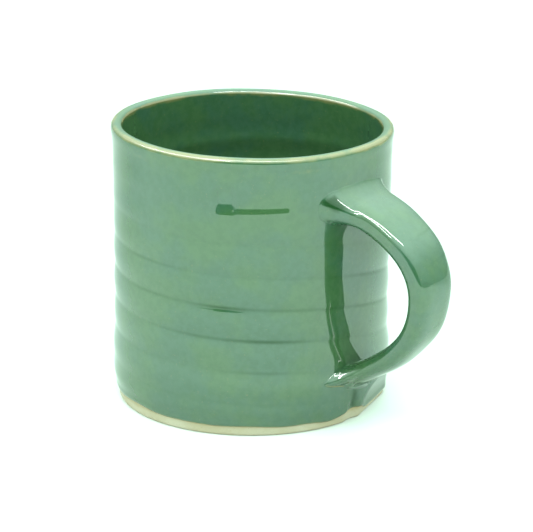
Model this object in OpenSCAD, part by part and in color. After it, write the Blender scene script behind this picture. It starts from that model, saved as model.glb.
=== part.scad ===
// Hand-thrown stoneware mug with a pulled strap handle and a sage green glaze.
// Millimetres. +Z is up and +X runs from the mug's axis towards the handle.
// The origin is the centre of the flat base, on the surface the mug stands on.

/* [Body] */
// Height from the base to the top of the rim
height = 88.5; // [80:0.5:100]
// Outer radius of the glazed wall at its waist
waist_r = 43.2; // [38:0.1:46]
// Extra radius that the wall gains towards the rim
rim_flare = 0.4; // [0:0.1:3]
// Extra radius of the rolled lip
lip_roll = 0.5; // [0:0.1:1.5]
// Extra radius of the swell just above the foot
foot_swell = 0.5; // [0:0.1:2]
// Thickness of the rounded lip
lip_t = 3.7; // [3:0.1:5]
// How much smaller the inside radius is at the floor than at the lip
inside_taper = 1.6; // [0.5:0.1:3]
// Thickness of the floor under the liner glaze
floor_t = 6.0; // [4:0.5:9]
// Radius of the inside corner between wall and floor
corner_r = 9; // [5:0.5:14]
// Width of the bevel round the bottom edge
base_bevel = 0.8; // [0.4:0.1:1.5]

/* [Throwing rings] */
// Distance from one ring to the next
ring_pitch = 10.3; // [7:0.1:14]
// Height of a ring above and below the mean wall
ring_depth = 0.28; // [0:0.02:0.5]
// Height of the first ring's crest
ring_start = 11.5; // [8:0.5:14]
// Height where the rings have faded out under the rim
ring_end = 80; // [70:1:80]

/* [Glaze] */
// Thickness of every glaze coat
glaze_t = 0.5; // [0.3:0.1:0.8]
// Height of the bare clay band at the foot
glaze_line = 3.4; // [2:0.1:8]

/* [Handle] */
// Distance from the mug's axis to the strap's centreline at its widest
reach = 69.7; // [64:0.1:76]
// Height of the widest point
apex_z = 47; // [42:0.5:52]
// Height of the centreline at the upper root
upper_z = 68.6; // [64:0.2:71]
// Rise of the strap as it leaves the upper root, in degrees
upper_slope = 10; // [0:1:15]
// Height of the centreline at the lower root
lower_z = 11; // [10:0.2:16]
// Rise of the strap as it leaves the lower root, in degrees
lower_slope = 30; // [20:1:35]
// Strap width at the upper root
width_top = 21.5; // [18:0.5:26]
// Strap width at the apex
width_mid = 15; // [12:0.5:20]
// Strap width before the lower root spreads
width_low = 11; // [9:0.5:18]
// Strap thickness at the upper root
thick_top = 7.2; // [6:0.1:9]
// Strap thickness at the lower root
thick_low = 5.9; // [5:0.1:8]
// How far each side of the strap spreads on the wall
root_spread = 3; // [0:0.5:6]
// How far the strap thickens on the wall, above and below
root_fillet = 2.2; // [0:0.1:3]

/* [Slip joints] */
// Thickness of the scored slip between wall and strap
slip_t = 0.8; // [0.5:0.1:1.2]

/* [Foot press] */
// Depth of the thumb press above the foot, under the handle
press_depth = 1.5; // [0.5:0.1:2]
// Radius of the thumb that made it
press_r = 40; // [20:1:50]
// Angle of the press round the mug from the handle
press_angle = 16; // [-20:1:20]
// Height of the middle of the press
press_z = 3; // [3:0.5:10]

/* [Hidden] */
$fn = 96;

clay_color = "#d9d2b4";
slip_color = "#c9bf9c";
glaze_color = "#7ba384";
liner_color = "#4f7a5c";
handle_color = "#8cbe9b";

lip_r = lip_t / 2;
lip_z = height - lip_r;
profile_step = 2.05;
arc_steps = 8;
inside_step = 2;
strap_stations = 16;
strap_sides = 24;
root_stations = 6;
strap_squareness = 3;
root_x = 36;
upper_pull = 17;
lower_pull = 20.4;
apex_pull_up = 14;
apex_pull_down = 18;
root_length = 5;

// ---- wall profile -------------------------------------------------------

function ring_fade(z) = z < ring_end ? cos(90 * z / ring_end) : 0;
function ring(z) = ring_depth * ring_fade(z) * cos(360 * (z - ring_start) / ring_pitch);
function bell(distance, width) = exp(-pow(distance / width, 2));

// Radius of the glazed outer wall at height z
function outer_r(z) = waist_r + ring(z) + rim_flare * pow(z / height, 4)
    + foot_swell * bell(z - 13, 6) + lip_roll * bell(z - lip_z, 2.4);

lip_centre_r = outer_r(lip_z) - lip_r;

// Radius of the glazed inner wall, which narrows evenly from the lip to the floor
function inner_r(z) = lip_centre_r - lip_r - inside_taper * (1 - z / lip_z);

wall_heights = [for (z = [glaze_line : profile_step : lip_z - profile_step / 2]) z];
wall_top = len(wall_heights) - 1;
corner_z = floor_t + corner_r;
corner_centre_r = inner_r(corner_z) - corner_r;
inner_heights = [lip_z - inside_step, corner_z + inside_step];

// Points of each stretch, moved outwards from the clay by a coat of thickness g
function outer_wall(g) = [for (z = wall_heights) [outer_r(z) - glaze_t + g, z]];
function lip_arc(g, from, to) = [for (i = [0 : arc_steps])
    let (a = from + (to - from) * i / arc_steps)
    [lip_centre_r + (lip_r - glaze_t + g) * cos(a), lip_z + (lip_r - glaze_t + g) * sin(a)]];
function inner_wall(g) = [for (z = inner_heights) [inner_r(z) + glaze_t - g, z]];
function corner_arc(g) = [for (i = [0 : arc_steps])
    let (a = -90 * i / arc_steps)
    [corner_centre_r + (corner_r + glaze_t - g) * cos(a),
     corner_z + (corner_r + glaze_t - g) * sin(a)]];

foot_r = outer_r(glaze_line) - glaze_t;
foot_outline = [[0, 0], [foot_r - base_bevel, 0], [foot_r, base_bevel]];

function reversed(list) = [for (i = [len(list) - 1 : -1 : 0]) list[i]];

// Everything inside the outer surface, with the hollow filled in
module filled_vessel(g) {
    rotate_extrude()
        polygon(concat(foot_outline, outer_wall(g), lip_arc(g, 0, 90), [[0, lip_z + lip_r - glaze_t + g]]));
}

// ---- strap sweep --------------------------------------------------------

function bezier(p, t) = pow(1 - t, 3) * p[0] + 3 * pow(1 - t, 2) * t * p[1]
    + 3 * (1 - t) * t * t * p[2] + pow(t, 3) * p[3];
function bezier_slope(p, t) = 3 * pow(1 - t, 2) * (p[1] - p[0])
    + 6 * (1 - t) * t * (p[2] - p[1]) + 3 * t * t * (p[3] - p[2]);

apex = [reach, apex_z];
upper_root = [root_x, upper_z];
lower_root = [root_x, lower_z];
upper_curve = [upper_root, upper_root + upper_pull * [cos(upper_slope), sin(upper_slope)],
               apex + [0, apex_pull_up], apex];
lower_curve = [apex, apex - [0, apex_pull_down],
               lower_root + lower_pull * [cos(lower_slope), sin(lower_slope)], lower_root];

// u runs from 0 at the upper root, through 1 at the apex, to 2 at the lower root
function centre(u) = u < 1 ? bezier(upper_curve, u) : bezier(lower_curve, u - 1);
function along(u) = let (d = u < 1 ? bezier_slope(upper_curve, u) : bezier_slope(lower_curve, u - 1))
    d / norm(d);
function strap_width(u) = u < 1 ? width_top + (width_mid - width_top) * u
    : width_mid + (width_low - width_mid) * (u - 1);
function strap_thickness(u) = thick_top + (thick_low - thick_top) * u / 2;

// 1 on the wall, fading along the strap
function near_wall(u) = exp(-max(centre(u)[0] - waist_r + 2, 0) / root_length);

// One ring of points round the strap, moved outwards by a coat of thickness g
function strap_ring(u, g) = let (c = centre(u), d = along(u), w = near_wall(u))
    let (half_w = strap_width(u) / 2 + root_spread * w + g)
    let (half_t = strap_thickness(u) / 2 + root_fillet * w + g)
    [for (i = [0 : strap_sides - 1])
        let (a = 360 * i / strap_sides)
        let (p = half_t * sign(cos(a)) * pow(abs(cos(a)), 2 / strap_squareness))
        let (q = half_w * sign(sin(a)) * pow(abs(sin(a)), 2 / strap_squareness))
        [c[0] - d[1] * p, q, c[1] + d[0] * p]];

function strap_points(g, first, last) = [for (k = [first : last]) each strap_ring(k / strap_stations, g)];

// Quads between neighbouring rings, whose points start at index start
function strap_sides_faces(rings, start) = [for (k = [0 : rings - 2]) for (i = [0 : strap_sides - 1])
    let (j = (i + 1) % strap_sides, a = start + k * strap_sides, b = a + strap_sides)
    [a + i, a + j, b + j, b + i]];

// A solid length of strap, from one station to another
module strap(first = 0, last = 2 * strap_stations) {
    rings = last - first + 1;
    near_end = [for (i = [strap_sides - 1 : -1 : 0]) i];
    far_end = [for (i = [0 : strap_sides - 1]) (rings - 1) * strap_sides + i];
    polyhedron(strap_points(0, first, last), concat([near_end], strap_sides_faces(rings, 0), [far_end]));
}

// The coat round the whole strap: an outer skin and an inner one, joined at both ends
module strap_coat() {
    last = 2 * strap_stations;
    count = (last + 1) * strap_sides;
    points = concat(strap_points(glaze_t, 0, last), strap_points(0, 0, last));
    outside = strap_sides_faces(last + 1, 0);
    inside = [for (f = strap_sides_faces(last + 1, count)) reversed(f)];
    near_end = [for (i = [0 : strap_sides - 1]) let (j = (i + 1) % strap_sides)
        [i, i + count, j + count, j]];
    far_end = [for (i = [0 : strap_sides - 1]) let (j = (i + 1) % strap_sides, a = count - strap_sides)
        [a + i, a + j, a + j + count, a + i + count]];
    polyhedron(points, concat(outside, inside, near_end, far_end));
}

module upper_root_strap() { strap(0, root_stations); }
module lower_root_strap() { strap(2 * strap_stations - root_stations, 2 * strap_stations); }

// ---- thumb press above the foot -----------------------------------------

module thumb(g) {
    rotate(press_angle)
        translate([waist_r - glaze_t - press_depth + press_r + g, 0, press_z])
        sphere(press_r);
}

// The hollow that the thumb left in the clay above the glaze line
module press_filling() {
    intersection() {
        filled_vessel(0);
        thumb(0);
        translate([0, 0, glaze_line])
            cylinder(h = 2 * press_r, r = 2 * waist_r);
    }
}

// ---- sub-parts ----------------------------------------------------------

module thrown_body() {
    color(clay_color)
    difference() {
        rotate_extrude()
            polygon(concat(foot_outline, outer_wall(0), lip_arc(0, 0, 180), inner_wall(0),
                           corner_arc(0), [[0, floor_t - glaze_t]]));
        thumb(0);
    }
}

module outer_glaze() {
    color(glaze_color)
    difference() {
        union() {
            rotate_extrude()
                polygon(concat(outer_wall(glaze_t), lip_arc(glaze_t, 0, 90),
                               reversed(lip_arc(0, 0, 90)), reversed(outer_wall(0))));
            press_filling();
        }
        thumb(glaze_t);
        upper_root_strap();
        lower_root_strap();
    }
}

module liner_glaze() {
    color(liner_color)
    rotate_extrude()
        polygon(concat(lip_arc(glaze_t, 90, 180), inner_wall(glaze_t), corner_arc(glaze_t),
                       [[0, floor_t]], [[0, floor_t - glaze_t]],
                       reversed(corner_arc(0)), reversed(inner_wall(0)), reversed(lip_arc(0, 90, 180))));
}

module pulled_handle() {
    color(clay_color)
    difference() {
        strap();
        filled_vessel(slip_t);
    }
}

module handle_glaze() {
    color(handle_color)
    difference() {
        strap_coat();
        filled_vessel(glaze_t);
    }
}

// The slip between the clay wall and one root of the strap, which is the module's child
module slip_joint() {
    color(slip_color)
    intersection() {
        difference() {
            filled_vessel(slip_t);
            filled_vessel(0);
        }
        children();
    }
}

module upper_slip_joint() { slip_joint() upper_root_strap(); }
module lower_slip_joint() { slip_joint() lower_root_strap(); }

thrown_body();
pulled_handle();
upper_slip_joint();
lower_slip_joint();
outer_glaze();
liner_glaze();
handle_glaze();
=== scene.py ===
"""A hand-thrown mug with a pulled strap handle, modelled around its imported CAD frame.

Shapes are worked out in millimetres on numpy grids and turned into metres when a mesh is made.
Angles go round the mug's axis from the handle (+X), counter-clockwise from above.
"""
import math

import bpy
import numpy as np
from mathutils import Matrix, Vector


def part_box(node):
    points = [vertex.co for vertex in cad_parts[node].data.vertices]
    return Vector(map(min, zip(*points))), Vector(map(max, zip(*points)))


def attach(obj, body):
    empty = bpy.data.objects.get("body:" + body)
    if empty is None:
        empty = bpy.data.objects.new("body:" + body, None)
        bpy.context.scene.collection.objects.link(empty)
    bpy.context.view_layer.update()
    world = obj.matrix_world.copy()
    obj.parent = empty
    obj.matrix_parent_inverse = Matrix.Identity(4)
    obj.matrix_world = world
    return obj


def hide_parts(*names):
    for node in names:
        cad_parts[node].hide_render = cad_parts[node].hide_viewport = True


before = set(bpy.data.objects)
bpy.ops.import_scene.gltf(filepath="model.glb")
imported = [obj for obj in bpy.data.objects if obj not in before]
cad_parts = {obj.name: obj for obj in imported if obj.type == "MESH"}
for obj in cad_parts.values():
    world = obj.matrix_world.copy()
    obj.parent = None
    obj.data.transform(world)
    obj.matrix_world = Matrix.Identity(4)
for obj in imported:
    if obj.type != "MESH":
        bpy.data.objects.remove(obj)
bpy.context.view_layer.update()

MM = 0.001


def box_mm(node):
    """A CAD node's lowest and highest corners in millimetres."""
    low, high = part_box(node)
    return np.array(low) / MM, np.array(high) / MM


# ---- driving dimensions ---------------------------------------------------

wall_low, wall_high = box_mm("outer_glaze")
strap_high = box_mm("handle_glaze")[1]
liner_low = box_mm("liner_glaze")[0]

# The vessel: heights, radii and thicknesses in millimetres
HEIGHT = wall_high[2]
GLAZE = 0.5
# The waist is a little narrower than the CAD wall's widest ring
WAIST_R = wall_high[0] - 0.8
RIM_FLARE = 0.45
LIP_ROLL = 0.36
FOOT_SWELL = 0.6
FOOT_SWELL_Z = 13.5
LIP_R = 1.85
LIP_Z = HEIGHT - LIP_R
INSIDE_TAPER = 1.6
FLOOR_Z = liner_low[2] + GLAZE
CORNER_R = 9.0
BEVEL = 0.9
FOOT_TAPER = 0.5
OFF_ROUND = 0.45
GLAZE_LINE_Z = wall_low[2] - 0.1
# How far the wall waves in and out: slowly round the pot, quicker, and where the rib ran over it
SLOW_WAVE, QUICK_WAVE, RIB_WAVE = 0.10, 0.05, 0.06

# The finger spiral on the wall, the groove that fixes its height, and its dip on one side
RING_PITCH = 10.1
RING_DEPTH = 0.20
GROOVE_Z = 41.8
GROOVE_ANGLE = math.radians(-63)
GROOVE_WIDTH = 1.2
DIP = 6.5
DIP_ANGLE = math.radians(50)
DIP_WIDTH = math.radians(50)

# How far the rim hangs down on one side
RIM_DROP = 0.79
RIM_DROP_ANGLE = math.radians(40.6)

# Points round the vessel, and their angles
COLUMNS = 360
THETA = np.arange(COLUMNS)[None] * 2 * np.pi / COLUMNS


def bell(x, width):
    """A smooth bump of height 1 at x = 0."""
    return np.exp(-(x / width) ** 2)


def smooth(x, low, high):
    """0 under low and 1 over high, with a soft passage between."""
    t = np.clip((x - low) / (high - low), 0.0, 1.0)
    return t * t * (3 - 2 * t)


def turn(angle):
    """An angle in radians brought to the range from -pi to pi."""
    return (angle + np.pi) % (2 * np.pi) - np.pi


def theta_deg(theta):
    """An angle in degrees from -180 to 180."""
    return np.degrees(turn(theta))


# ---- vessel surface -------------------------------------------------------

def spiral(theta, z):
    """Turns climbed along the finger spiral. Its grooves lie at whole numbers."""
    angle = turn(theta)
    climb = RING_PITCH * (angle - GROOVE_ANGLE) / (2 * np.pi)
    return (z + climb + DIP * bell(angle - DIP_ANGLE, DIP_WIDTH) - GROOVE_Z) / RING_PITCH


def groove_distance(theta, z):
    """Millimetres up or down to the nearest groove."""
    turns = spiral(theta, z)
    return RING_PITCH * (turns - np.round(turns))


def ring_wave(theta, z):
    """Broad soft rings with a narrow groove between each two, except near the foot."""
    swell = -0.75 * np.cos(2 * np.pi * spiral(theta, z))
    return swell - 0.7 * bell(groove_distance(theta, z), GROOVE_WIDTH) * smooth(z, 18, 27)


def ring_strength(theta, z):
    """How deep the rings are at a place: clear near the foot, faint under the rim and beside the handle."""
    fade = smooth(z, 3, 10) * (1 - 0.55 * smooth(z, 44, 58)) * (1 - 0.6 * smooth(z, 60, 74))
    uneven = 1 + 0.22 * np.sin(2 * theta + 0.7 + 0.05 * z) + 0.15 * np.sin(5 * theta - 0.11 * z)
    calm = 1 - 0.6 * bell(turn(theta + 0.15), 0.5)
    return fade * uneven * calm * (1 - smooth(z, 80, 86))


# Dark glaze in the grooves, partly real pooling and partly painted shade and a painted reflection of the
# dark card: which groove, angle and half length in degrees, depth of colour
STREAKS = [
    (0, -62, 11, 1.0), (0, -36, 20, 0.40), (0, -95, 14, 0.30), (-1, -43, 15, 1.0),
    (-1, -70, 18, 0.45), (-2, -46, 14, 0.35), (1, -98, 16, 0.30), (0, 10, 24, 0.40),
    (1, 8, 20, 0.40), (-1, 130, 30, 0.6), (1, 175, 24, 0.5), (0, -150, 20, 0.5), (2, 90, 30, 0.4),
]
# Darkening given to every groove, partly pooled glaze and partly painted shade under the rings
GROOVE_TINT = 0.14


def groove_pool_and_shade(theta, z):
    """How dark the grooves are painted: partly glaze pooled in them, partly painted shade and a painted
    reflection of the dark card.
    """
    which = np.round(spiral(theta, z))
    depth = np.full_like(which, GROOVE_TINT)
    for groove, angle, half_length, strength in STREAKS:
        along = bell(turn(theta - math.radians(angle)), math.radians(half_length))
        depth = depth + np.where(which == groove, strength * along, 0)
    in_groove = bell(groove_distance(theta, z) + 0.2, 0.55)
    return depth * in_groove * smooth(z, 5, 10) * (1 - smooth(z, 58, 66))


# Steps that the rib left high on the side that faces the camera: angle and half length in degrees,
# height, width of the step, and how far in it goes
LEDGES = [(-60.5, 5.0, 72.5, 4.4, 0.90), (-46, 13, 72.1, 2.6, 0.48)]
LEDGE_END = math.radians(2.5)


def ledge(theta, z, angle, half_angle, height, width, drop):
    """One step: above it the wall is a little further in, and then comes back."""
    inside = math.radians(half_angle) - np.abs(turn(theta - math.radians(angle)))
    window = smooth(inside, 0, LEDGE_END)
    step = smooth(z, height - width / 2, height + width / 2) * (1 - smooth(z, height + width, height + 9))
    return drop * window * step


# Thumb presses above the foot, under the handle: angle in degrees, height, depth, half width, half height
PRESSES = [(-2.9, 1.0, 0.8, 3.4, 8.2), (17.2, 1.0, 1.5, 11.3, 9.3)]
PRESS_EDGE = 0.07


def scoop(theta, z, angle, height, depth, half_width, half_height):
    """Depth of one thumb press, with a soft but clear rim."""
    arc = WAIST_R * turn(theta - math.radians(angle))
    q = depth * (1 - (arc / half_width) ** 2 - ((z - height) / half_height) ** 2)
    return (q + np.sqrt(q * q + PRESS_EDGE * PRESS_EDGE)) / 2


def wall_radius(theta, z, pressed=1.0):
    """Radius of the glazed outside wall, with its thumb presses or, where pressed is 0, without them."""
    r = WAIST_R + RIM_FLARE * (z / HEIGHT) ** 4 + FOOT_SWELL * bell(z - FOOT_SWELL_Z, 8)
    r = r - FOOT_TAPER * (1 - smooth(z, 0, 9))
    r = r - OFF_ROUND * np.cos(theta - RIM_DROP_ANGLE) * (1 - smooth(z, 20, 80))
    r = r + LIP_ROLL * bell(z - LIP_Z, 2.4)
    r = r + RING_DEPTH * ring_wave(theta, z) * ring_strength(theta, z)
    r = r + SLOW_WAVE * np.sin(2 * theta + 0.4) + QUICK_WAVE * np.sin(3 * theta + 1.9 + 0.03 * z)
    rib = np.sin(z * 0.62 + 1.3 * np.sin(theta)) * smooth(z, 50, 64) * (1 - smooth(z, 80, 86))
    r = r + RIB_WAVE * rib
    pressed_in = sum(scoop(theta, z, *press) for press in PRESSES)
    stepped_in = sum(ledge(theta, z, *step) for step in LEDGES)
    return r - pressed * pressed_in - stepped_in


def inside_radius(theta, z):
    """Radius of the glazed inside wall."""
    r = wall_radius(theta, LIP_Z) - 2 * LIP_R - INSIDE_TAPER * (1 - z / LIP_Z)
    ripple = 0.22 * ring_wave(theta + 1.0, z + 3.0) * smooth(z, 14, 22) * (1 - smooth(z, 70, 84))
    return r + ripple


def lean(theta, r, z):
    """How far down the pot's lean takes a point. The rim is a little lower on one side."""
    return RIM_DROP * (r / wall_high[0]) * np.cos(theta - RIM_DROP_ANGLE) * (z / HEIGHT) ** 2


def place(theta, r, z):
    """Points of the leaning pot."""
    theta, r, z = np.broadcast_arrays(theta, r, z - lean(theta, r, z))
    return np.stack([r * np.cos(theta), r * np.sin(theta), z], -1)


def lip_point(theta, angle, coat):
    """A point on the rounded lip: angle 0 faces out, a half turn faces in."""
    wave = 0.08 * np.sin(3 * theta + 0.8) + 0.05 * np.sin(7 * theta + 2.0)
    flat = 1 - 0.10 * np.sin(angle) ** 2
    size = LIP_R - GLAZE + coat
    centre = wall_radius(theta, LIP_Z) - LIP_R
    return place(theta, centre + size * np.cos(angle), LIP_Z + size * flat * np.sin(angle) + wave)


def glaze_line(theta):
    """Height of the wavy edge of the glaze above the foot."""
    wave = 0.28 * np.sin(3 * theta + 0.6) + 0.20 * np.sin(7 * theta + 2.1)
    wave = wave + 0.12 * np.sin(13 * theta + 0.3)
    calm = 1 - 0.6 * bell(turn(theta - 0.2), 0.6)
    raised = 0.6 * bell(turn(theta + 0.046), 0.08) - 1.0 * bell(turn(theta + 0.285), 0.13)
    sunk = 1.5 * smooth(theta_deg(theta), 3, 9) * (1 - smooth(theta_deg(theta), 42, 53))
    return GLAZE_LINE_Z - 0.2 + wave * calm + raised - sunk


# ---- mesh helpers ---------------------------------------------------------

def grid_normals(points):
    """Normals of the inner rows of a grid that wraps round in its second direction."""
    down = points[2:] - points[:-2]
    around = np.roll(points, -1, 1)[1:-1] - np.roll(points, 1, 1)[1:-1]
    n = np.cross(around, down)
    return n / np.linalg.norm(n, axis=-1, keepdims=True)


def with_end_rows(points, before=None, after=None):
    """A grid with one more row at each end, carried straight on where none is given."""
    before = 2 * points[0] - points[1] if before is None else before
    after = 2 * points[-1] - points[-2] if after is None else after
    return np.concatenate([before[None], points, after[None]])


def loop_quads(rows, cols, closed):
    """Faces of a grid of rows that each wrap round; closed also joins the last row to the first."""
    i = np.arange(rows if closed else rows - 1)[:, None]
    j = np.arange(cols)[None]
    a, b = i * cols, (i + 1) % rows * cols
    k = (j + 1) % cols
    return np.stack([a + j, a + k, b + k, b + j], -1).reshape(-1, 4)


def end_fan(cols, start, centre, flip):
    """Triangles that join one row of points, the first of them numbered start, to a centre point."""
    j = np.arange(cols)
    k = (j + 1) % cols
    a, b = (k, j) if flip else (j, k)
    return np.stack([start + a, start + b, np.full_like(j, centre)], -1)


def build(name, points, quads, normals=None, tris=None, layers=None):
    """Makes an object from points in millimetres, with its own smooth normals where they are given."""
    faces = quads.tolist() + ([] if tris is None else tris.tolist())
    mesh = bpy.data.meshes.new(name)
    mesh.from_pydata((points.reshape(-1, 3) * MM).tolist(), [], faces)
    for layer, values in (layers or {}).items():
        attribute = mesh.attributes.new(layer, "FLOAT", "POINT")
        attribute.data.foreach_set("value", np.ascontiguousarray(values, dtype=np.float32).ravel())
    mesh.shade_smooth()
    if normals is not None:
        mesh.normals_split_custom_set_from_vertices(normals.reshape(-1, 3).tolist())
    obj = bpy.data.objects.new(name, mesh)
    bpy.context.scene.collection.objects.link(obj)
    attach(obj, "root")
    return obj


def make_shell(name, outside, inside, after, layers):
    """A closed coat between two grids. Its seen side keeps the surface's own normals to the very edge."""
    rows, cols = outside.shape[:2]
    points = np.concatenate([outside, inside[::-1]])
    n_out = grid_normals(with_end_rows(outside, after=after))
    n_in = -grid_normals(with_end_rows(inside))
    normals = np.concatenate([n_out, n_in[::-1]])
    quads = loop_quads(2 * rows, cols, True)
    both = {layer: np.concatenate([v, v[::-1]]) for layer, v in layers.items()}
    return build(name, points, quads, normals, layers=both)


# ---- pieces of the vessel -------------------------------------------------

# Where the painted shade in the corner beside the upper root lies: along the wall from the handle, and up,
# in millimetres
CORNER_SHADE_X = -17.0
CORNER_SHADE_Z = 73.8
LIP_ROWS = 16


def ochre_on_lip(theta, angle):
    """How thin the glaze runs on the two edges of the lip."""
    ragged = 1 + 0.25 * np.sin(4 * theta + 1) + 0.2 * np.sin(9 * theta) + 0.15 * np.sin(23 * theta + 2)
    outer, inner = bell(angle - 0.85, 0.60), bell(angle - 2.75, 0.26)
    return np.clip((outer + inner) * ragged, 0, 1)


def corner_shade(theta, z):
    """The three-cornered patch of painted shade and painted reflection in the corner beside the upper root.
    """
    x = WAIST_R * turn(theta) - CORNER_SHADE_X
    up = z - CORNER_SHADE_Z
    top = 0.38 * x - up
    bottom = up + 0.67 * x
    right = 7.2 - x - 0.46 * (up + 2.1)
    floor = up + 2.8 - 0.23 * (x - 4.2)
    inside = np.minimum(np.minimum(top, bottom), np.minimum(right, floor))
    return smooth(inside, -0.3, 0.7)


def make_outer_glaze():
    rows = 230
    v = np.linspace(0, 1, rows)[:, None] ** 1.04
    line = glaze_line(THETA)
    z = line + (LIP_Z - 0.25 - line) * v
    above = z - line
    bead = GLAZE * np.sqrt(np.clip(1 - (1 - np.clip(above / 0.7, 0, 1)) ** 2, 0, 1))
    coat = bead + 0.12 * bell(above - 1.1, 0.8)
    clay_r = wall_radius(THETA, z) - GLAZE
    outside = place(THETA, clay_r + coat, z)
    inside = place(THETA, clay_r - 0.02, z)
    angles = np.linspace(0, np.pi / 2, LIP_ROWS)[:, None]
    lip_out = lip_point(THETA, angles, GLAZE)
    lip_in = lip_point(THETA, angles, 0.0)
    # Painted shade: a dark vertical band in the crease of the foot below the handle, added to the grooves'
    # dark glaze
    crease_shade = bell(WAIST_R * turn(THETA + 0.05), 1.3) * smooth(z, 3.5, 5) * (1 - smooth(z, 9, 13))
    pool_and_shade = 0.7 * groove_pool_and_shade(THETA, z) + 0.8 * crease_shade
    drips = np.clip(np.sin(7 * THETA + 1.5 * np.sin(3 * THETA)) - 0.1, 0, 1)
    thin = 0.9 * bell(above, 0.45) + 0.30 * bell(LIP_Z - 2.6 - z, 1.3) * drips
    thin_lip = ochre_on_lip(THETA, angles)
    after = lip_point(THETA, np.pi / 2 + angles[1], GLAZE)[0]
    layers = {"pool_and_shade": np.concatenate([pool_and_shade, 0 * thin_lip]), "thin": np.concatenate([thin, thin_lip])}
    outside = np.concatenate([outside, lip_out])
    inside = np.concatenate([inside, lip_in])
    return make_shell("outer_glaze_coat", outside, inside, after, layers)


def liner_grid(coat):
    """Rows from the crest of the lip, down the inside wall, round the corner and over the floor."""
    angles = np.linspace(np.pi / 2, np.pi * 0.94, 18)[:, None]
    lip = lip_point(THETA, angles, coat)
    z = np.linspace(LIP_Z - 0.9, FLOOR_Z + CORNER_R, 74)[:, None]
    wall = place(THETA, inside_radius(THETA, z) + GLAZE - coat, z)
    bend = np.linspace(0, np.pi / 2, 16)[1:, None]
    middle = inside_radius(THETA, FLOOR_Z + CORNER_R) - CORNER_R
    size = CORNER_R + GLAZE - coat
    corner = place(THETA, middle + size * np.cos(bend), FLOOR_Z + CORNER_R - size * np.sin(bend))
    r = middle * np.linspace(1, 0.02, 44)[1:, None]
    rings = 0.25 * np.cos(2 * np.pi * (r / 5.5 + THETA / (2 * np.pi)))
    rings = rings * smooth(r, 1, 5) * (1 - smooth(r, 22, 28))
    button = 0.9 * bell(r, 4.5)
    floor = place(THETA, r, FLOOR_Z - GLAZE + coat + rings + button)
    return np.concatenate([lip, wall, corner, floor]), angles


def make_liner():
    """The glaze inside, from the crest of the lip to the middle of the floor."""
    outside, angles = liner_grid(GLAZE)
    inside, _ = liner_grid(0.0)
    rows, cols = outside.shape[:2]
    before = lip_point(THETA, np.pi / 2 - (angles[1] - angles[0]), GLAZE)[0]
    n_out = grid_normals(with_end_rows(outside, before))
    n_in = -grid_normals(with_end_rows(inside))
    centres = [outside[-1].mean(0), inside[-1].mean(0)]
    points = np.concatenate([outside[::-1].reshape(-1, 3), inside.reshape(-1, 3), centres])
    normals = np.concatenate([n_out[::-1].reshape(-1, 3), n_in.reshape(-1, 3), [[0, 0, 1], [0, 0, -1]]])
    quads = loop_quads(2 * rows, cols, False)[:, ::-1]
    end = 2 * rows * cols
    tris = np.concatenate([end_fan(cols, 0, end, False), end_fan(cols, end - cols, end + 1, True)])
    thin = np.zeros((rows, cols))
    thin[: len(angles)] = ochre_on_lip(THETA, angles)
    thin = np.concatenate([thin[::-1].ravel(), thin.ravel(), [0, 0]])
    return build("liner_glaze_coat", points, quads, normals, tris, {"thin": thin, "pool_and_shade": 0 * thin})


def make_clay_body():
    """The thrown clay: a wire-cut base, the bare foot band, and the wall and floor under the glaze."""
    r = np.linspace(0.03, 1, 56)[:, None]
    edge = wall_radius(THETA, 0.0) - GLAZE - BEVEL
    x, y = r * edge * np.cos(THETA), r * edge * np.sin(THETA)
    drag = np.hypot(x + 38, y - 60)
    wire = 0.10 * (1 + np.sin(2 * np.pi * drag / 3.1 + 0.8 * np.sin(x / 9))) * (1 - smooth(r, 0.9, 0.99))
    dish = 0.35 * (1 - smooth(r, 0.2, 0.93))
    base = np.stack([x, y, wire + dish], -1)
    bend = np.linspace(0, np.pi / 2, 7)[1:, None]
    bevel = place(THETA, edge + BEVEL * np.sin(bend), BEVEL * (1 - np.cos(bend)))
    z = np.concatenate([np.linspace(BEVEL + 0.4, 6.5, 14), np.linspace(8, LIP_Z, 40)])[:, None]
    wall = place(THETA, wall_radius(THETA, z) - GLAZE, z)
    lip = lip_point(THETA, np.linspace(0, np.pi / 2, 8)[1:, None], 0.0)
    inner = liner_grid(0.0)[0][1:]
    grid = np.concatenate([base, bevel, wall, lip, inner])
    rows, cols = grid.shape[:2]
    points = np.concatenate([grid.reshape(-1, 3), [base[0].mean(0), inner[-1].mean(0)]])
    end = rows * cols
    tris = np.concatenate([end_fan(cols, 0, end, True), end_fan(cols, end - cols, end + 1, False)])
    height = points[:, 2] / 10
    return build("clay_body", points, loop_quads(rows, cols, False), None, tris, {"height": height})


# ---- handle ---------------------------------------------------------------

# Where the centreline's ends and its widest point lie, its slopes there, and how far they carry
ROOT_X = 36.0
UPPER_Z, UPPER_SLOPE, UPPER_PULL = 72.6, math.radians(-11), 19.8
LOWER_Z, LOWER_SLOPE, LOWER_PULL = 11.0, math.radians(30), 20.4
APEX_Z, APEX_PULL_UP, APEX_PULL_DOWN = 47.0, 14.0, 18.0
# How far the lower root is rolled, and shifted sideways
LOWER_ROLL = math.radians(8)
LOWER_SHIFT = 1.0
# Places along the strap, and its half width, half thickness and squareness there
HALF_WIDTHS = ([0, 1, 1.7, 2], [11.2, 7.95, 6.2, 5.9])
HALF_THICKNESSES = ([0, 1, 1.6, 2], [4.1, 3.8, 3.5, 3.0])
SQUARENESS = ([0, 1.2, 1.6, 2], [3.4, 3.2, 2.5, 2.4])
# The centreline's widest point, half a thickness inside the back of the CAD strap
REACH = strap_high[0] - HALF_THICKNESSES[1][1]
SIDES = 96
ANGLES = np.arange(SIDES) * 2 * np.pi / SIDES


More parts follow.
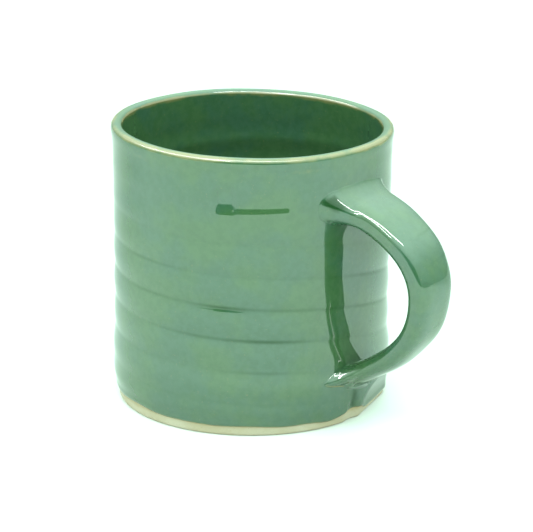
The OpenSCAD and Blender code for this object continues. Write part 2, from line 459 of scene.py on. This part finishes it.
def bezier(p, t):
    """Points of a cubic curve with the four control points p."""
    t = t[..., None]
    return (1 - t) ** 3 * p[0] + 3 * (1 - t) ** 2 * t * p[1] + 3 * (1 - t) * t * t * p[2] + t ** 3 * p[3]


def bezier_slope(p, t):
    """Directions along that curve, not yet of length 1."""
    t = t[..., None]
    return (1 - t) ** 2 * (p[1] - p[0]) + 2 * (1 - t) * t * (p[2] - p[1]) + t * t * (p[3] - p[2])


def strap_curve(u):
    """Centreline and direction in the X-Z plane.

    u is 0 inside the upper root, 1 at the apex and 2 inside the lower root.
    """
    apex = np.array([REACH, APEX_Z])
    top = np.array([ROOT_X, UPPER_Z])
    low = np.array([ROOT_X, LOWER_Z])
    upper = [top, top + UPPER_PULL * np.array([math.cos(UPPER_SLOPE), math.sin(UPPER_SLOPE)]),
             apex + [0, APEX_PULL_UP], apex]
    lower = [apex, apex - [0, APEX_PULL_DOWN],
             low + LOWER_PULL * np.array([math.cos(LOWER_SLOPE), math.sin(LOWER_SLOPE)]), low]
    first = (u < 1)[..., None]
    up, down = np.clip(u, 0, 1), np.clip(u - 1, 0, 1)
    c = np.where(first, bezier(upper, up), bezier(lower, down))
    d = np.where(first, bezier_slope(upper, up), bezier_slope(lower, down))
    return c, d / np.linalg.norm(d, axis=-1, keepdims=True)


def strap_point(u, a, inset):
    """A point of the pulled strap before its roots spread. a is 0 on the back of the strap."""
    c, d = strap_curve(u)
    half_w = np.interp(u, *HALF_WIDTHS) - inset
    half_t = np.interp(u, *HALF_THICKNESSES) - inset
    square = 2 / np.interp(u, *SQUARENESS)
    ca, sa = np.cos(a), np.sin(a)
    p = half_t * np.sign(ca) * np.abs(ca) ** square
    q = half_w * np.sign(sa) * np.abs(sa) ** square
    ripple = 0.12 * np.sin(u * 21 + 0.6) * (ca > 0) * np.abs(ca)
    roll = LOWER_ROLL * smooth(u, 1.5, 1.9)
    p, q = p + ripple + q * np.sin(roll), q - LOWER_SHIFT * smooth(u, 1.2, 1.9)
    return np.stack(np.broadcast_arrays(c[..., 0] - d[..., 1] * p, q, c[..., 1] + d[..., 0] * p), -1)


def wall_gap(points):
    """Distance of points from the glazed wall before it was pressed, measured along the radius."""
    theta = np.arctan2(points[..., 1], points[..., 0])
    return np.hypot(points[..., 0], points[..., 1]) - wall_radius(theta, points[..., 2], 0.0)


def round_values(keys):
    """Eight values round the strap, from its back by its far side, joined by a smooth closed curve."""
    keys = np.array(keys, float)
    at = ANGLES / (2 * np.pi) * len(keys)
    i = np.floor(at).astype(int)
    t = smooth(at - i, 0, 1)
    return keys[i % len(keys)] * (1 - t) + keys[(i + 1) % len(keys)] * t


# How far each root spreads over the wall, over what length of strap, and how much more the upper one
# does so up and down than sideways, from the strap's back round by its far side
UPPER_SPREAD = round_values([2.8, 2.8, 3.0, 2.0, 1.4, 4.2, 6.2, 2.6])
UPPER_LENGTH = round_values([5.0, 5.0, 4.5, 2.5, 1.6, 8.0, 10.0, 5.0])
UPPER_LIFT = round_values([1.0, 1.5, 1.0, 1.0, 1.0, 1.0, 1.0, 5.0])
LOWER_TONGUE = 3.7 * bell(turn(ANGLES - 4.95), 0.22)
LOWER_SPREAD = round_values([1.2, 2.5, 5.0, 2.0, 0.6, 1.5, 5.0, 2.0]) + LOWER_TONGUE
LOWER_LENGTH = round_values([2.0, 3.0, 4.0, 2.0, 0.9, 3.0, 9.0, 3.0])
# Each root, as root_rows takes it
UPPER_ROOT = (0.0, 0.6, UPPER_SPREAD, UPPER_LENGTH, UPPER_LIFT)
LOWER_ROOT = (2.0, 1.35, LOWER_SPREAD, LOWER_LENGTH, 1.0)
# The rows' distances from the wall, in millimetres
ROOT_GAPS = np.array([-0.25, 0.0, 0.12, 0.28, 0.5, 0.8, 1.2, 1.7, 2.3, 3.0, 3.8, 4.8, 6.0, 7.4, 9.2, 11.4])


def fillet(x):
    """How a root spreads towards the wall: an even flare, with a round corner at the wall itself."""
    corner = 1 - np.sqrt(1 - (1 - np.clip(x / 0.35, 0, 1)) ** 2)
    return 0.78 * (1 - x) ** 1.7 + 0.22 * corner


def root_rows(u_inside, u_join, spread, length, lift, inset):
    """Rows from the wall outwards: each at its own gap from the wall, filleted into it."""
    u = np.linspace(u_inside, u_join, 240)
    cloud = strap_point(u[:, None], ANGLES[None], inset)
    gap = wall_gap(cloud)
    gap = np.maximum.accumulate(gap, 0) + np.arange(len(u))[:, None] * 1e-7
    rows = []
    for target in ROOT_GAPS:
        at = np.array([np.interp(target, gap[:, i], u) for i in range(SIDES)])
        p = strap_point(at, ANGLES, inset)
        mid = strap_curve(at)[0]
        out = np.stack([p[:, 0] - mid[:, 0], p[:, 1], (p[:, 2] - mid[:, 1]) * lift], -1)
        theta = np.arctan2(p[:, 1], p[:, 0])
        radial = np.stack([np.cos(theta), np.sin(theta), 0 * theta], -1)
        out = out - radial * (out * radial).sum(-1, keepdims=True)
        out = out / np.linalg.norm(out, axis=-1, keepdims=True)
        x = np.clip(max(target, 0) / length, 0, 1)
        p = p + out * (spread * fillet(x))[:, None]
        theta = np.arctan2(p[:, 1], p[:, 0])
        r = wall_radius(theta, p[:, 2], 1 - smooth(target, 0, 2)) + target
        held = smooth(np.full(SIDES, target), 8.0, 11.4)[:, None]
        on_gap = np.stack([r * np.cos(theta), r * np.sin(theta), p[:, 2]], -1)
        rows.append(on_gap * (1 - held) + p * held)
    last_u = np.array([np.interp(ROOT_GAPS[-1], gap[:, i], u) for i in range(SIDES)])
    return np.array(rows), last_u


def strap_grid(inset):
    """Rows of the whole strap, from the wall at its upper root to the wall at its lower root."""
    top, u_top = root_rows(*UPPER_ROOT, inset)
    low, u_low = root_rows(*LOWER_ROOT, inset)
    t = np.linspace(0, 1, 132)[1:-1, None]
    u = u_top[None] * (1 - t) + u_low[None] * t
    return np.concatenate([top, strap_point(u, ANGLES[None], inset), low[::-1]])


def lean_strap(points):
    """Points of the strap, lowered as the wall beside them is by the pot's lean."""
    theta = np.arctan2(points[..., 1], points[..., 0])
    r = np.hypot(points[..., 0], points[..., 1])
    out = points.copy()
    out[..., 2] -= lean(theta, np.minimum(r, wall_high[0]), points[..., 2])
    return out


def wall_normals(points):
    """Normals of the glazed wall under points that lie on it."""
    theta = np.arctan2(points[..., 1], points[..., 0])
    z = points[..., 2]
    e = 1e-3
    across = place(theta + e, wall_radius(theta + e, z), z) - place(theta - e, wall_radius(theta - e, z), z)
    up = place(theta, wall_radius(theta, z + e), z + e) - place(theta, wall_radius(theta, z - e), z - e)
    n = np.cross(across, up)
    return n / np.linalg.norm(n, axis=-1, keepdims=True)


def make_handle_glaze():
    """The coat round the strap. Its ends take the wall's normals, so no seam shows at the roots."""
    outside = strap_grid(0.0)
    inside = strap_grid(GLAZE)
    n = -grid_normals(with_end_rows(lean_strap(outside)))
    n[0], n[-1] = wall_normals(outside[0]), wall_normals(outside[-1])
    n_in = grid_normals(with_end_rows(lean_strap(inside)))
    points = lean_strap(np.concatenate([outside, inside[::-1]]))
    gap = np.clip(wall_gap(outside) / 6, 0, 1)
    row = np.linspace(0, 1, len(outside))[:, None]
    far_edge = bell(turn(ANGLES - 0.95), 0.16)
    tongue = bell(turn(ANGLES - 5.2), 0.30)[None] * bell(row - 0.985, 0.012)
    thin = 0.62 * far_edge[None] * gap + 0.75 * tongue
    bent = row + 0.02 * np.sin(1.5 * ANGLES + 0.4)[None]
    lines = sum(s * bell(bent - at, 0.004) for at, s in ((0.25, 0.30), (0.37, 0.22), (0.62, 0.2)))
    pool_and_shade = lines * np.clip(np.cos(ANGLES - 0.5), 0, 1)[None] ** 2
    theta = np.arctan2(outside[..., 1], outside[..., 0])
    # Painted shade in the corner beside the upper root
    pool_and_shade = pool_and_shade + 0.9 * corner_shade(theta, outside[..., 2]) * (wall_gap(outside) < 8) * (row < 0.5)
    quads = loop_quads(2 * len(outside), SIDES, True)[:, ::-1]
    layers = {"thin": np.concatenate([thin, thin]), "pool_and_shade": np.concatenate([pool_and_shade, pool_and_shade])}
    return build("handle_glaze_coat", points, quads, np.concatenate([n, n_in[::-1]]), layers=layers)


def capped(name, grid):
    """A closed solid from rows that wrap round, with a fan over each end."""
    rows, cols = grid.shape[:2]
    points = np.concatenate([grid.reshape(-1, 3), [grid[0].mean(0), grid[-1].mean(0)]])
    end = rows * cols
    tris = np.concatenate([end_fan(cols, 0, end, False), end_fan(cols, end - cols, end + 1, True)])
    return build(name, points, loop_quads(rows, cols, False)[:, ::-1], None, tris)


# How far the slip stays inside the strap's outline, and how many of the root's rows it takes in
SLIP_INSET = 1.2
SLIP_ROWS = 4


def make_clay_handle():
    """The clay of the strap, a hair's breadth inside its glaze."""
    return capped("clay_handle", lean_strap(strap_grid(GLAZE + 0.02)))


def make_slip(name, root):
    """A pad of slip under one root, sunk into the wall."""
    rows = root_rows(*root, SLIP_INSET)[0][:SLIP_ROWS]
    theta = np.arctan2(rows[0][:, 1], rows[0][:, 0])
    r = wall_radius(theta, rows[0][:, 2]) - GLAZE
    sunk = np.stack([r * np.cos(theta), r * np.sin(theta), rows[0][:, 2]], -1)
    return capped(name, lean_strap(np.concatenate([sunk[None], rows])))


# ---- materials ------------------------------------------------------------

class Nodes:
    """Short calls for building one material's node tree."""

    def __init__(self, name):
        self.material = bpy.data.materials.new(name)
        self.material.use_nodes = True
        self.tree = self.material.node_tree
        self.tree.nodes.clear()
        self.place = self.add("ShaderNodeTexCoord").outputs["Object"]

    def add(self, kind, **props):
        node = self.tree.nodes.new(kind)
        for key, value in props.items():
            setattr(node, key, value)
        return node

    def link(self, source, target):
        self.tree.links.new(source, target)

    def feed(self, value, socket):
        """Sets a socket to a number, or links an output to it."""
        if isinstance(value, (int, float)):
            socket.default_value = value
        else:
            self.link(value, socket)

    def noise(self, scale, detail, roughness):
        node = self.add("ShaderNodeTexNoise")
        node.inputs["Scale"].default_value = scale
        node.inputs["Detail"].default_value = detail
        node.inputs["Roughness"].default_value = roughness
        self.link(self.place, node.inputs["Vector"])
        return node.outputs["Fac"]

    def layer(self, name):
        """A value stored on the mesh's points."""
        return self.add("ShaderNodeAttribute", attribute_name=name).outputs["Fac"]

    def math(self, kind, *values, clamp=False):
        node = self.add("ShaderNodeMath", operation=kind, use_clamp=clamp)
        for socket, value in zip(node.inputs, values):
            self.feed(value, socket)
        return node.outputs["Value"]

    def ramp(self, value, low, high):
        """0 under low and 1 over high, with a soft passage between."""
        node = self.add("ShaderNodeMapRange", interpolation_type="SMOOTHSTEP")
        node.inputs["From Min"].default_value = low
        node.inputs["From Max"].default_value = high
        self.link(value, node.inputs["Value"])
        return node.outputs["Result"]

    def mix(self, factor, a, b):
        node = self.add("ShaderNodeMix", data_type="RGBA")
        colours = [s for s in node.inputs if s.type == "RGBA"]
        self.link(factor, node.inputs["Factor"])
        for socket, value in zip(colours, (a, b)):
            if isinstance(value, tuple):
                socket.default_value = (*value, 1)
            else:
                self.link(value, socket)
        return [s for s in node.outputs if s.type == "RGBA"][0]

    def bump(self, height, distance, strength, normal=None):
        node = self.add("ShaderNodeBump")
        node.inputs["Distance"].default_value = distance * MM
        node.inputs["Strength"].default_value = strength
        self.link(height, node.inputs["Height"])
        if normal:
            self.link(normal, node.inputs["Normal"])
        return node.outputs["Normal"]

    def surface(self, colour, roughness, normal, **sockets):
        shader = self.add("ShaderNodeBsdfPrincipled")
        self.link(colour, shader.inputs["Base Color"])
        self.link(normal, shader.inputs["Normal"])
        shader.inputs["Roughness"].default_value = roughness
        for key, value in sockets.items():
            self.feed(value, shader.inputs[key])
        output = self.add("ShaderNodeOutputMaterial")
        self.link(shader.outputs["BSDF"], output.inputs["Surface"])
        return self.material


# Colours of the glaze, from its body to its pools, which also carry painted shade, and its thin edges
SAGE = (0.048, 0.107, 0.044)
BLUE_SAGE = (0.040, 0.097, 0.058)
DEEP = (0.020, 0.068, 0.024)
POOL_AND_SHADE = (0.008, 0.040, 0.008)
OCHRE = (0.20, 0.165, 0.07)
OLIVE = (0.11, 0.13, 0.05)
# Colours of the bare clay and of the slip
CREAM, WARM, PALE = (0.42, 0.35, 0.24), (0.35, 0.26, 0.12), (0.48, 0.42, 0.32)
GROG = (0.24, 0.17, 0.09)
SLIP_LIGHT, SLIP_DARK = (0.50, 0.44, 0.29), (0.40, 0.34, 0.21)


def glaze_material():
    """Glossy mottled glaze that runs ochre where it is thin, and deep green where it pools and where
    painted shade and painted reflections lie.
    """
    n = Nodes("sage_glaze")
    clouds = n.ramp(n.noise(55, 4, 0.6), 0.40, 0.62)
    colour = n.mix(clouds, SAGE, BLUE_SAGE)
    mottle = n.ramp(n.noise(420, 3, 0.6), 0.36, 0.66)
    colour = n.mix(n.math("MULTIPLY", mottle, 0.30), colour, DEEP)
    flecks = n.ramp(n.noise(1500, 2, 0.6), 0.66, 0.74)
    colour = n.mix(n.math("MULTIPLY", flecks, 0.25), colour, OCHRE)
    # Deep green over pooled glaze and over the painted shade in the grooves, the foot crease and the root
    # corner
    colour = n.mix(n.math("MULTIPLY", n.layer("pool_and_shade"), 0.85, clamp=True), colour, POOL_AND_SHADE)
    ragged = n.math("MULTIPLY_ADD", n.noise(260, 3, 0.6), 0.9, -0.45)
    ragged = n.math("MULTIPLY", ragged, n.ramp(n.layer("thin"), 0.02, 0.3))
    worn = n.math("ADD", n.layer("thin"), ragged)
    colour = n.mix(n.ramp(worn, 0.15, 0.55), colour, OLIVE)
    colour = n.mix(n.ramp(worn, 0.50, 0.95), colour, OCHRE)
    normal = n.bump(n.noise(230, 2, 0.5), 0.10, 0.25)
    normal = n.bump(n.noise(1200, 2, 0.5), 0.02, 0.2, normal)
    # Less coat over pools and painted shade, so that they stay dark
    coat = n.math("SUBTRACT", 1.0, n.math("MULTIPLY", n.layer("pool_and_shade"), 0.6, clamp=True))
    dry = n.math("ADD", 0.03, n.math("MULTIPLY", n.layer("thin"), 0.25, clamp=True))
    return n.surface(colour, 0.30, normal, **{
        "Specular IOR Level": 0.0, "Coat Weight": coat, "Coat IOR": 1.75, "Coat Roughness": dry})


def clay_material():
    """Bare stoneware: cream, matt, with fine grog and a warmer flash towards the glaze."""
    n = Nodes("bare_stoneware")
    colour = n.mix(n.ramp(n.noise(90, 4, 0.6), 0.35, 0.65), CREAM, PALE)
    rise = n.ramp(n.layer("height"), 0.20, 0.40)
    colour = n.mix(n.math("MULTIPLY", rise, 0.7), colour, WARM)
    grog = n.ramp(n.noise(1900, 2, 0.6), 0.64, 0.72)
    colour = n.mix(n.math("MULTIPLY", grog, 0.5), colour, GROG)
    normal = n.bump(n.noise(900, 3, 0.6), 0.08, 0.5)
    return n.surface(colour, 0.85, normal)


def slip_material():
    """Matt fired slip in two shades."""
    n = Nodes("joining_slip")
    colour = n.mix(n.ramp(n.noise(300, 3, 0.6), 0.4, 0.6), SLIP_LIGHT, SLIP_DARK)
    return n.surface(colour, 0.9, n.bump(n.noise(700, 3, 0.6), 0.1, 0.6))


# ---- assembly -------------------------------------------------------------

def dress(obj, material, slot, *nodes):
    """Gives a piece its material and hides the CAD nodes that it stands for. Its slot is not used."""
    obj.data.materials.append(material)
    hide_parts(*nodes)


clay = clay_material()
slip = slip_material()
glaze = glaze_material()
dress(make_clay_body(), clay, "bare_clay", "thrown_body")
dress(make_outer_glaze(), glaze, "wall_glaze", "outer_glaze")
dress(make_liner(), glaze, "liner_glaze", "liner_glaze")
dress(make_clay_handle(), clay, "bare_clay", "pulled_handle")
dress(make_handle_glaze(), glaze, "handle_glaze", "handle_glaze")
dress(make_slip("upper_slip", UPPER_ROOT), slip, "joining_slip", "upper_slip_joint")
dress(make_slip("lower_slip", LOWER_ROOT), slip, "joining_slip", "lower_slip_joint")


# ---- studio ---------------------------------------------------------------

# The camera: where it stands and what it looks at, its sensor's width and its lens, all in millimetres
CAMERA_ANGLE = math.radians(40.6)
CAMERA_DISTANCE = 746.4
CAMERA_HEIGHT = 285.1
TARGET_RIGHT = 4.38
TARGET_Z = 41.05
SENSOR_WIDTH = 36.0
LENS = 167.26154
RIGHT = np.array([math.cos(CAMERA_ANGLE), math.sin(CAMERA_ANGLE), 0])
TOWARDS = np.array([math.sin(CAMERA_ANGLE), -math.cos(CAMERA_ANGLE), 0])
# The dark card behind the camera, in millimetres, and the two darks of its cloth
CARD_DISTANCE = 900
CARD_HALF = 520
CARD_LOW, CARD_HIGH = 15, 420
CLOTH_DARK, CLOTH_PALER = (0.010, 0.020, 0.010), (0.014, 0.026, 0.014)
# The floor: half its side and the stretch over which it grows lighter, in metres, and its two greys; the
# lighter grey in front is a painted pool of light
FLOOR_HALF = 4.0
FLOOR_FADE = (-0.14, 0.07)
FLOOR_FAR, FLOOR_NEAR_PAINTED_LIGHT = (0.47, 0.47, 0.47), (0.78, 0.78, 0.78)
# The light tent: its colour, and its strength at the horizon and overhead
TENT_COLOUR = (0.74, 1.0, 0.86, 1)
TENT_HORIZON, TENT_OVERHEAD = 0.8, 4.0
# Corners of the bent strip on the left and ends of the one overhead, as studio_point takes them
LEFT_BENDS = [(-750, -310, 580), (-605, 90, 790), (-425, 400, 810), (-220, 680, 690)]
LEFT_WIDTH, LEFT_RADIANCE = 65, 40
OVERHEAD_ENDS = [(-430, 360, 930), (430, 360, 930)]
OVERHEAD_WIDTH, OVERHEAD_RADIANCE = 70, 35


def studio_point(right, towards, up):
    """A place in metres from millimetres to the camera's right, towards the camera and up."""
    return tuple((RIGHT * right + TOWARDS * towards + np.array([0, 0, up])) * MM)


def make_floor():
    """A plain matt floor, painted lighter in front of the mug than behind it as a pool of light."""
    mesh = bpy.data.meshes.new("floor")
    corners = [(x * FLOOR_HALF, y * FLOOR_HALF, 0) for x, y in ((-1, -1), (1, -1), (1, 1), (-1, 1))]
    mesh.from_pydata(corners, [], [(0, 1, 2, 3)])
    floor = bpy.data.objects.new("floor", mesh)
    bpy.context.scene.collection.objects.link(floor)
    n = Nodes("pale_floor")
    forward = n.add("ShaderNodeVectorMath", operation="DOT_PRODUCT")
    n.link(n.place, forward.inputs[0])
    forward.inputs[1].default_value = TOWARDS.tolist()
    colour = n.mix(n.ramp(forward.outputs["Value"], *FLOOR_FADE), FLOOR_FAR, FLOOR_NEAR_PAINTED_LIGHT)
    mesh.materials.append(n.surface(colour, 0.9, n.bump(n.noise(40, 2, 0.5), 0.05, 0.1)))


def make_world():
    """A pale light tent, brighter overhead than at the horizon and a little green."""
    world = bpy.data.worlds.new("studio")
    bpy.context.scene.world = world
    world.use_nodes = True
    nodes, links = world.node_tree.nodes, world.node_tree.links
    direction = nodes.new("ShaderNodeSeparateXYZ")
    links.new(nodes.new("ShaderNodeTexCoord").outputs["Generated"], direction.inputs["Vector"])
    brightness = nodes.new("ShaderNodeMapRange")
    brightness.interpolation_type = "SMOOTHSTEP"
    brightness.inputs["To Min"].default_value = TENT_HORIZON
    brightness.inputs["To Max"].default_value = TENT_OVERHEAD
    links.new(direction.outputs["Z"], brightness.inputs["Value"])
    background = nodes["Background"]
    background.inputs["Color"].default_value = TENT_COLOUR
    links.new(brightness.outputs["Result"], background.inputs["Strength"])


def make_strip(name, start, end, width, radiance):
    """A strip light between two studio places, facing the mug. It makes highlights and no other light."""
    start, end = Vector(studio_point(*start)), Vector(studio_point(*end))
    middle = (start + end) / 2
    along = (end - start).normalized()
    facing = (Vector((0, 0, 45 * MM)) - middle).normalized()
    across = facing.cross(along).normalized()
    lamp = bpy.data.lights.new(name, "AREA")
    lamp.shape = "RECTANGLE"
    lamp.size, lamp.size_y = (end - start).length, width * MM
    lamp.energy = radiance * math.pi * lamp.size * lamp.size_y
    obj = bpy.data.objects.new(name, lamp)
    away = across.cross(along).normalized()
    obj.matrix_world = Matrix((along, away.cross(along), away)).transposed().to_4x4()
    obj.location = middle
    obj.visible_diffuse = False
    bpy.context.scene.collection.objects.link(obj)


def make_dark_card():
    """A dark card behind the camera, which the glaze mirrors. The camera doesn't see it."""
    mesh = bpy.data.meshes.new("dark_card")
    corners = [(-CARD_HALF, CARD_DISTANCE, CARD_LOW), (CARD_HALF, CARD_DISTANCE, CARD_LOW),
               (CARD_HALF, CARD_DISTANCE, CARD_HIGH), (-CARD_HALF, CARD_DISTANCE, CARD_HIGH)]
    mesh.from_pydata([studio_point(*corner) for corner in corners], [], [(0, 1, 2, 3)])
    card = bpy.data.objects.new("dark_card", mesh)
    bpy.context.scene.collection.objects.link(card)
    n = Nodes("dark_cloth")
    colour = n.mix(n.noise(20, 2, 0.5), CLOTH_DARK, CLOTH_PALER)
    mesh.materials.append(n.surface(colour, 0.9, n.bump(n.noise(40, 2, 0.5), 0.05, 0.1)))
    card.visible_camera = False
    card.visible_diffuse = False


def make_camera():
    """A camera above the rim, looking a little down on the mug."""
    camera = bpy.data.cameras.new("camera")
    camera.sensor_width = SENSOR_WIDTH
    camera.lens = LENS
    obj = bpy.data.objects.new("camera", camera)
    position = Vector(studio_point(0, CAMERA_DISTANCE, CAMERA_HEIGHT))
    target = Vector(studio_point(TARGET_RIGHT, 0, TARGET_Z))
    obj.location = position
    obj.rotation_euler = (target - position).to_track_quat("-Z", "Y").to_euler()
    bpy.context.scene.collection.objects.link(obj)
    bpy.context.scene.camera = obj


make_floor()
make_world()
make_camera()
make_dark_card()
for i, ends in enumerate(zip(LEFT_BENDS, LEFT_BENDS[1:])):
    make_strip(f"left_strip_{i}", *ends, LEFT_WIDTH, LEFT_RADIANCE)
make_strip("overhead_strip", *OVERHEAD_ENDS, OVERHEAD_WIDTH, OVERHEAD_RADIANCE)
bpy.context.scene.view_settings.view_transform = "Standard"
